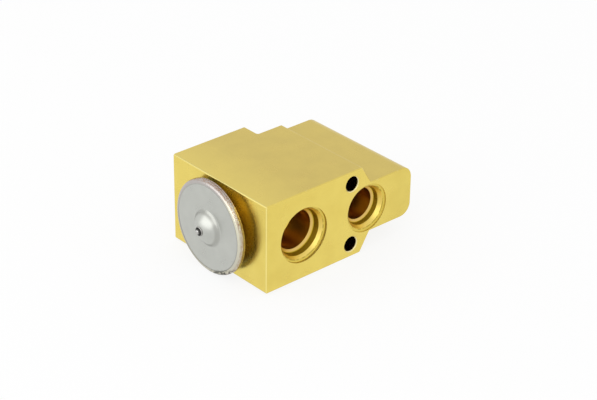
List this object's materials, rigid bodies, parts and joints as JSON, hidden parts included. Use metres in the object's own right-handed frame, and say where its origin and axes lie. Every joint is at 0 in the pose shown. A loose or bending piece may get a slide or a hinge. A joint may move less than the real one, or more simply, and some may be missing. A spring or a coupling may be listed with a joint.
{
  "type": "expansion valve",
  "caption": "Block thermostatic expansion valve with a round power head, stepped pipe ports, two through bolt holes and a ball valve inside.",
  "frame": {"origin": "midway between the two bolt holes, on the evaporator face", "axes": "+X along the stem from the power head to the nose, +Y from the evaporator face to the pipe face, +Z across the block"},
  "size_m": [0.0826, 0.0532, 0.0374],
  "materials": {
    "gold_block": "yellow passivated, fine machining and extrusion marks",
    "steel_cover": "satin stainless sheet",
    "steel_plug": "polished, with a dark weld ring",
    "spring_steel": "bright stainless spring steel",
    "steel_pin": "ground stainless",
    "rod_alloy": "turned",
    "turned_brass": "turned",
    "ball_steel": "polished bearing ball",
    "seal_rubber": "smooth"
  },
  "bodies": {
    "housing": {"valve_body": "gold_block", "head_cover": "steel_cover", "charge_plug": "steel_plug", "head_base": "steel_cover", "diaphragm": "spring_steel", "head_seal": "seal_rubber", "shaft_seal": "seal_rubber", "seal_retainer": "spring_steel", "superheat_spring": "spring_steel"},
    "valve_train": {"stopper_plate": "turned_brass", "sensing_rod": "rod_alloy", "push_pin": "steel_pin", "valve_ball": "ball_steel", "ball_support": "turned_brass", "damping_spring": "spring_steel"},
    "screw_carriage": {"screw_seal": "seal_rubber"},
    "screw": {"adjusting_screw": "turned_brass"}
  },
  "joints": [
    {"name": "valve_stroke", "type": "slide", "parent": "housing", "child": "valve_train", "axis": [1, 0, 0], "range_m": [0, 0.0008], "stiffness_N_per_m": 6000, "deforming": ["superheat_spring", "diaphragm"]},
    {"name": "screw_advance", "type": "slide", "parent": "housing", "child": "screw_carriage", "axis": [1, 0, 0], "range_m": [-0.001, 0.001]},
    {"name": "screw_turn", "type": "hinge", "parent": "screw_carriage", "child": "screw", "pos_m": [0.026, 0.0266, 0], "axis": [1, 0, 0], "range_deg": [-355, 355]}
  ],
  "couplings": [
    {"joint": "screw_advance", "follows": "screw_turn", "m_per_rad": 0.00015915}
  ]
}
